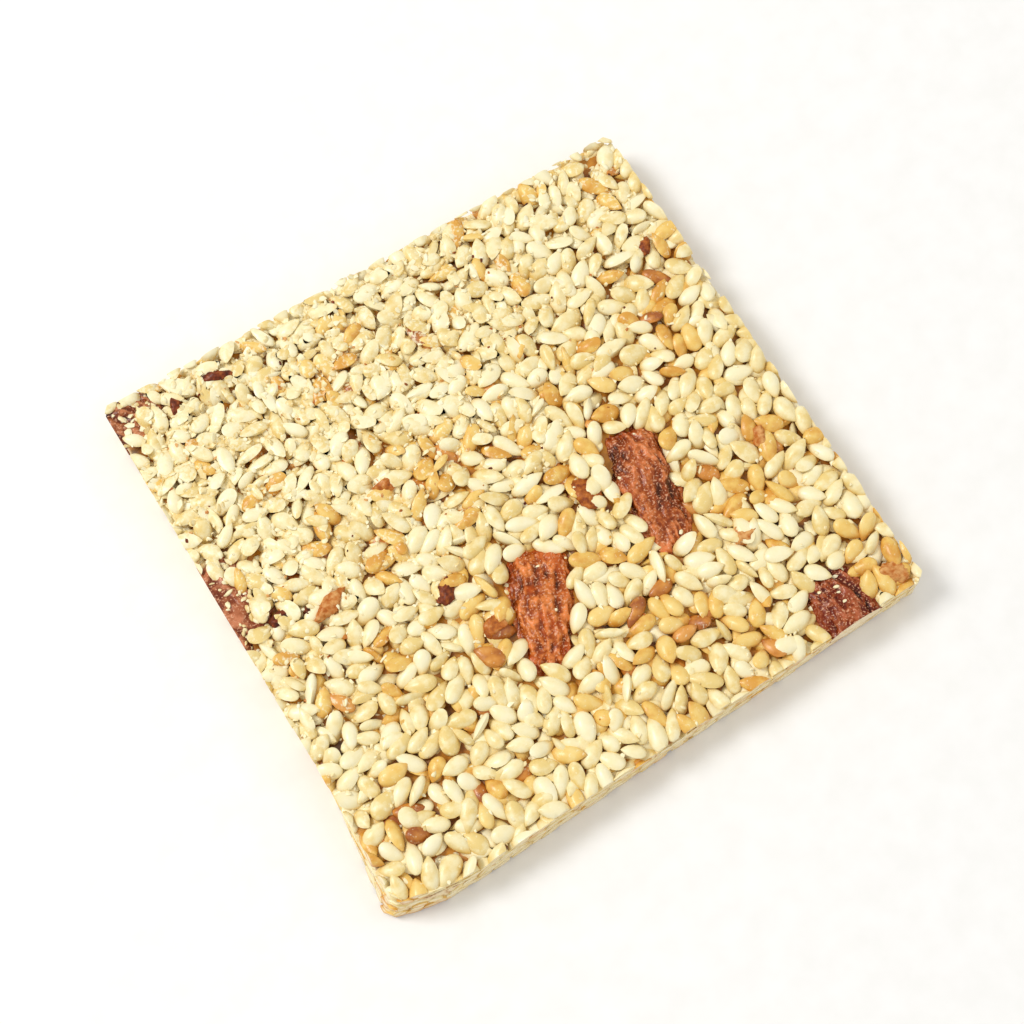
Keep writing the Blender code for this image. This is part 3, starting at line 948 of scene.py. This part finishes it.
def almond_mesh(name, almond):
    """A chopped almond: wrinkled lengthwise, with broken edges, and cut flush by the knife."""
    bm = bmesh.new()
    bmesh.ops.create_uvsphere(bm, u_segments=144, v_segments=96, radius=1.0)
    furrow = bm.verts.layers.float.new("furrow")
    length, width, depth = almond["size"]
    shift = Vector(almond["middle"]) / MM
    shift.resize_3d()
    for vert in bm.verts:
        # On the ball, z runs along the almond, y across it and x down.
        down, across, along = vert.co
        plan = squared(along, across, SQUARENESS)
        edge = Vector((along, across, 0)).normalized() * 1.9 + shift
        plan *= 1 + 0.09 * noise.noise(edge) + 0.05 * noise.noise(edge * 3.1)
        slim = 1 - almond["taper"] * along / 2
        spot = Vector((along * plan * length, across * plan * slim * width, -down * slim * depth)) / 2
        out = Vector((spot.x / length**2, spot.y / width**2, spot.z / depth**2)).normalized()
        grain = Vector((spot.x * 0.17, spot.y * 0.62, spot.z * 0.62)) / MM + shift
        grain.y += 0.5 * noise.noise(Vector((spot.x * 0.35, 0, 0)) / MM + shift)
        fold, wrinkle, crease = ridged(grain), ridged(grain * 2.3 + shift), ridged(grain * 4.7)
        lump = noise.noise(spot / (1.6 * MM) + shift)
        pit = noise.noise(spot / (0.4 * MM) + shift)
        rise = 0.17 * fold + 0.1 * wrinkle + 0.05 * crease + 0.2 * lump + 0.07 * pit - 0.1
        # The relief is kept for the skin's painted shade in the furrows and painted highlight on the
        # ridges.
        vert[furrow] = 0.4 + 0.2 * fold + 0.15 * wrinkle + 0.1 * crease + 0.2 * lump + 0.2 * pit
        vert.co = spot + out * rise * MM
    middle = almond_middle(almond)
    place = Matrix.Translation((middle.x, middle.y, almond["top"] - depth / 2))
    turn = Matrix.Rotation(almond["heading"], 4, "Z")
    bmesh.ops.transform(bm, matrix=place @ turn, verts=bm.verts)
    bmesh.ops.recalc_face_normals(bm, faces=bm.faces)
    cut_layer = bm.verts.layers.float.new("cut")
    faces = trim(bm, cuts_near(Vector((middle.x, middle.y, THICKNESS / 2)), length / 2))
    if faces:
        # The skin shows as a thin brown line round the pale flesh.
        bmesh.ops.inset_region(bm, faces=faces, thickness=SKIN, use_boundary=True)
        for face in faces:
            for vert in face.verts:
                vert[cut_layer] = 1.0
        bmesh.ops.triangulate(bm, faces=faces)
    mesh = bpy.data.meshes.new(name)
    bm.to_mesh(mesh)
    bm.free()
    mesh.shade_smooth()
    mesh.set_sharp_from_angle(angle=math.radians(60))
    return mesh


def chip_shape(draw):
    """A broken bit, a unit across: a ball with flat and jagged sides."""
    bm = bmesh.new()
    bmesh.ops.create_icosphere(bm, subdivisions=4, radius=0.5)
    shift = Vector(draw.uniform(0, 50, 3))
    sides = [(Vector(draw.normal(size=3)).normalized(), draw.uniform(0.27, 0.42)) for _ in range(12)]
    for vert in bm.verts:
        out = vert.co.normalized()
        # Each side is a plane just inside the ball.
        reach = min(0.5, *(inside / max(out.dot(side), 0.3) for side, inside in sides))
        rough = 0.12 * noise.noise(out * 3 + shift) + 0.09 * noise.noise(out * 8 + shift)
        vert.co = out * reach * (1 + rough + 0.06 * noise.noise(out * 17 + shift))
    return bm


def crumb_shape(draw):
    """A crumb of few faces, a unit across."""
    bm = bmesh.new()
    bmesh.ops.create_icosphere(bm, subdivisions=1, radius=0.5)
    for vert in bm.verts:
        vert.co *= draw.uniform(0.65, 1.15)
    return bm


def surface_of(objects):
    """What a crumb falls on: all the faces of these objects."""
    verts, faces = [], []
    for obj in objects:
        start = len(verts)
        verts.extend(v.co.copy() for v in obj.data.vertices)
        faces.extend([start + v for v in face.vertices] for face in obj.data.polygons)
    return BVHTree.FromPolygons(verts, faces)


# Operators


class SLICE_OT_caramel(Operator):
    """Makes the caramel that holds the seeds together"""

    bl_idname = "sesame_slice.caramel"
    bl_label = "Caramel bed"

    def execute(self, context):
        settings = context.scene.sesame_slice
        bed = new_piece("caramel_bed", bed_mesh(), hard_caramel("hard caramel", tuple(settings.caramel)))
        lumpy(bed, BED_NET, BED_LUMPS, LUMP_SIZE)
        bed.data.materials.clear()
        bed.data.materials.append(bpy.data.materials["hard caramel"])
        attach(bed, "root")
        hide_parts("sesame_slab")
        return {"FINISHED"}


class SLICE_OT_seeds(Operator):
    """Lays the sesame seeds on the top, the underside and in the cut sides"""

    bl_idname = "sesame_slice.seeds"
    bl_label = "Sesame seeds"

    def execute(self, context):
        settings = context.scene.sesame_slice
        shades = {
            "pale": (linear("#fbf2cc"), tuple(settings.pale), linear("#ecd084")),
            "golden": (linear("#f5d88a"), tuple(settings.golden), linear("#dc9e3c")),
            "toasted": (linear("#e6a552"), tuple(settings.toasted), linear("#a2561a")),
        }
        finishes = {
            kind: hulled_seed(f"{kind} hulled sesame", *shades[kind], settings.glaze) for kind in KINDS
        }
        groups = {"top": ("under", "top", "loose"), "base": ("base",), "side": ()}
        for group, layers in groups.items():
            heaps = {kind: Heap() for kind in KINDS}
            for layer in layers:
                lay_seeds(heaps, layer)
            if group == "side":
                lay_wall_seeds(heaps)
            for kind, heap in heaps.items():
                if not heap.count:
                    continue
                piece = heap.build(f"{group}_seeds_{kind}", finishes[kind])
                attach(piece, "root")
                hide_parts("sesame_slab")
        return {"FINISHED"}


class SLICE_OT_almonds(Operator):
    """Makes the five almond pieces that replace their solids"""

    bl_idname = "sesame_slice.almonds"
    bl_label = "Almond pieces"

    def execute(self, context):
        settings = context.scene.sesame_slice
        for node, almond in ALMONDS.items():
            finish = almond_skin(
                f"roasted skin of {node}", almond["heading"], almond["shades"], settings.almond_gloss
            )
            piece = new_piece(node + "_roasted", almond_mesh(node, almond), finish)
            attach(piece, "root")
            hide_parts(node)
        return {"FINISHED"}


class SLICE_OT_chips(Operator):
    """Sets the small bits of almond in the top"""

    bl_idname = "sesame_slice.chips"
    bl_label = "Almond bits"

    def execute(self, context):
        draw = np.random.default_rng(CHIP_DRAW)
        heap = Heap()
        for x, y, length, width, height, heading, tone in CHIPS:
            place = Matrix.Translation((x * MM, y * MM, CHIP_MIDDLE))
            turn = Matrix.Rotation(math.radians(heading), 4, "Z")
            size = [side * swell for side, swell in zip((length, width, height), CHIP_SWELL)]
            place_seed(heap, chip_shape(draw), place @ turn, size, tone, (), ROLLED_AT + 0.2 * MM)
        piece = heap.build("almond_bits", broken_almond("broken roasted almond"))
        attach(piece, "root")
        return {"FINISHED"}


class SLICE_OT_crumbs(Operator):
    """Drops crumbs of crushed seed and dark flecks on the top"""

    bl_idname = "sesame_slice.crumbs"
    bl_label = "Crumbs"

    def execute(self, context):
        settings = context.scene.sesame_slice
        draw = np.random.default_rng(CRUMB_DRAW)
        # The solids that the pieces replace are still in the scene, and no crumb lies on them.
        solids = {"sesame_slab", *ALMONDS}
        landing = surface_of(
            [obj for obj in context.scene.objects if obj.type == "MESH" and obj.name not in solids]
        )
        shapes = [crumb_shape(draw) for _ in range(CRUMB_SHAPES)]
        corners = corners_at(THICKNESS, 0.5 * MM)
        crumbs, flecks = Heap(), Heap()
        for x, y in scatter(draw, settings.crumbs * 2, corners):
            crumbly = crumbly_at(x, y)
            fleck = draw.uniform() < FLECK_SHARE
            chance = draw.uniform()
            size = draw.uniform(0.35, 0.65 + 0.4 * crumbly) * (0.6 if fleck else 1.0) * MM
            flat = draw.uniform([1.0, 0.6, 0.35], [1.6, 1.0, 0.7])
            tries = draw.normal(0, 0.5 * MM, (4, 2)) + (x, y)
            turn = Euler((*draw.normal(0, 0.4, 2), draw.uniform(0, 2 * math.pi))).to_matrix().to_4x4()
            shape, tone = shapes[draw.integers(len(shapes))], draw.uniform()
            if chance > 0.1 + 0.9 * crumbly:
                continue
            hits = [landing.ray_cast(Vector((*spot, 2 * THICKNESS)), DOWN)[0] for spot in tries]
            hits = [hit for hit in hits if hit and hit.z > 0.7 * THICKNESS]
            if not hits:
                continue
            # Crumbs roll into the gaps, so each ends at the lowest place near it.
            rest = min(hits, key=lambda hit: hit.z)
            almond = rise_on_almond(rest.x, rest.y)[1]
            if almond and tone > almond["crumbs"]:
                continue
            place = Matrix.Translation(rest) @ turn
            planes = cuts_near(rest, size)
            roof = ROLLED_AT + 0.3 * MM
            place_seed(flecks if fleck else crumbs, shape, place, size * flat, tone, planes, roof, 0.5)
        light, base, dark = linear("#fdf6d4"), linear("#f9ecbc"), linear("#ecd08a")
        for name, heap, finish in (
            ("crushed_seed", crumbs, hulled_seed("crushed sesame", light, base, dark, 0.0)),
            # Dark flecks, in the finish of the almond bits, which come to rest at the lowest places on the
            # top.
            ("dark_flecks", flecks, broken_almond("dark flecks at low spots")),
        ):
            piece = heap.build(name, finish)
            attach(piece, "root")
        return {"FINISHED"}


class SLICE_OT_stage(Operator):
    """Sets the white floor, the soft lights and the camera"""

    bl_idname = "sesame_slice.stage"
    bl_label = "Studio"

    def execute(self, context):
        bm = bmesh.new()
        bmesh.ops.create_grid(bm, x_segments=1, y_segments=1, size=FLOOR_HALF)
        bmesh.ops.translate(bm, vec=(0, 0, -FLOOR_DROP), verts=bm.verts)
        mesh = bpy.data.meshes.new("studio_floor")
        bm.to_mesh(mesh)
        bm.free()
        floor = new_piece("studio_floor", mesh, studio_paper("studio paper"))
        for name, place, size, power in LAMPS:
            add_lamp(name, place, size, power)
        add_sky(context.scene)
        add_camera(context.scene)
        context.scene.view_settings.view_transform = "Standard"
        return {"FINISHED"}


def add_lamp(name, place, size, power):
    """A square lamp that shines at the slice."""
    lamp = bpy.data.lights.new(name, "AREA")
    lamp.size = size
    lamp.energy = power
    obj = bpy.data.objects.new(name, lamp)
    bpy.context.scene.collection.objects.link(obj)
    obj.location = place
    obj.rotation_euler = Vector(place).to_track_quat("Z", "Y").to_euler()


def add_sky(scene):
    world = bpy.data.worlds.new("studio")
    scene.world = world
    world.use_nodes = True
    background = world.node_tree.nodes["Background"]
    background.inputs["Color"].default_value = SKY
    background.inputs["Strength"].default_value = SKY_STRENGTH


def add_camera(scene):
    """The camera, which looks down at the slice over its left corner at the front."""
    camera = bpy.data.cameras.new("camera")
    camera.lens = LENS_MM
    camera.sensor_width = SENSOR_MM
    camera.clip_start = NEAREST
    obj = bpy.data.objects.new("camera", camera)
    scene.collection.objects.link(obj)
    across = math.cos(VIEW_ELEVATION)
    back = Vector(
        (math.sin(VIEW_AZIMUTH) * across, -math.cos(VIEW_AZIMUTH) * across, math.sin(VIEW_ELEVATION))
    )
    obj.location = Vector((0, 0, THICKNESS / 2)) + back * VIEW_DISTANCE
    obj.rotation_euler = back.to_track_quat("Z", "Y").to_euler()
    scene.camera = obj


class SLICE_PT_panel(Panel):
    """Lists the slice's operators and settings"""

    bl_label = "Sesame almond slice"
    bl_idname = "SLICE_PT_panel"
    bl_space_type = "VIEW_3D"
    bl_region_type = "UI"
    bl_category = "Sesame slice"

    def draw(self, context):
        settings = context.scene.sesame_slice
        for key in SliceSettings.__annotations__:
            self.layout.prop(settings, key)
        for operator in OPERATORS:
            self.layout.operator(operator.bl_idname)


OPERATORS = (
    SLICE_OT_caramel,
    SLICE_OT_seeds,
    SLICE_OT_almonds,
    SLICE_OT_chips,
    SLICE_OT_crumbs,
    SLICE_OT_stage,
)
CLASSES = (SliceSettings, *OPERATORS, SLICE_PT_panel)


def register():
    for cls in CLASSES:
        bpy.utils.register_class(cls)
    bpy.types.Scene.sesame_slice = PointerProperty(type=SliceSettings)


def unregister():
    del bpy.types.Scene.sesame_slice
    for cls in reversed(CLASSES):
        bpy.utils.unregister_class(cls)


def main():
    register()
    bpy.ops.sesame_slice.caramel()
    bpy.ops.sesame_slice.seeds()
    bpy.ops.sesame_slice.almonds()
    bpy.ops.sesame_slice.chips()
    bpy.ops.sesame_slice.crumbs()
    bpy.ops.sesame_slice.stage()


if __name__ == "__main__":
    main()
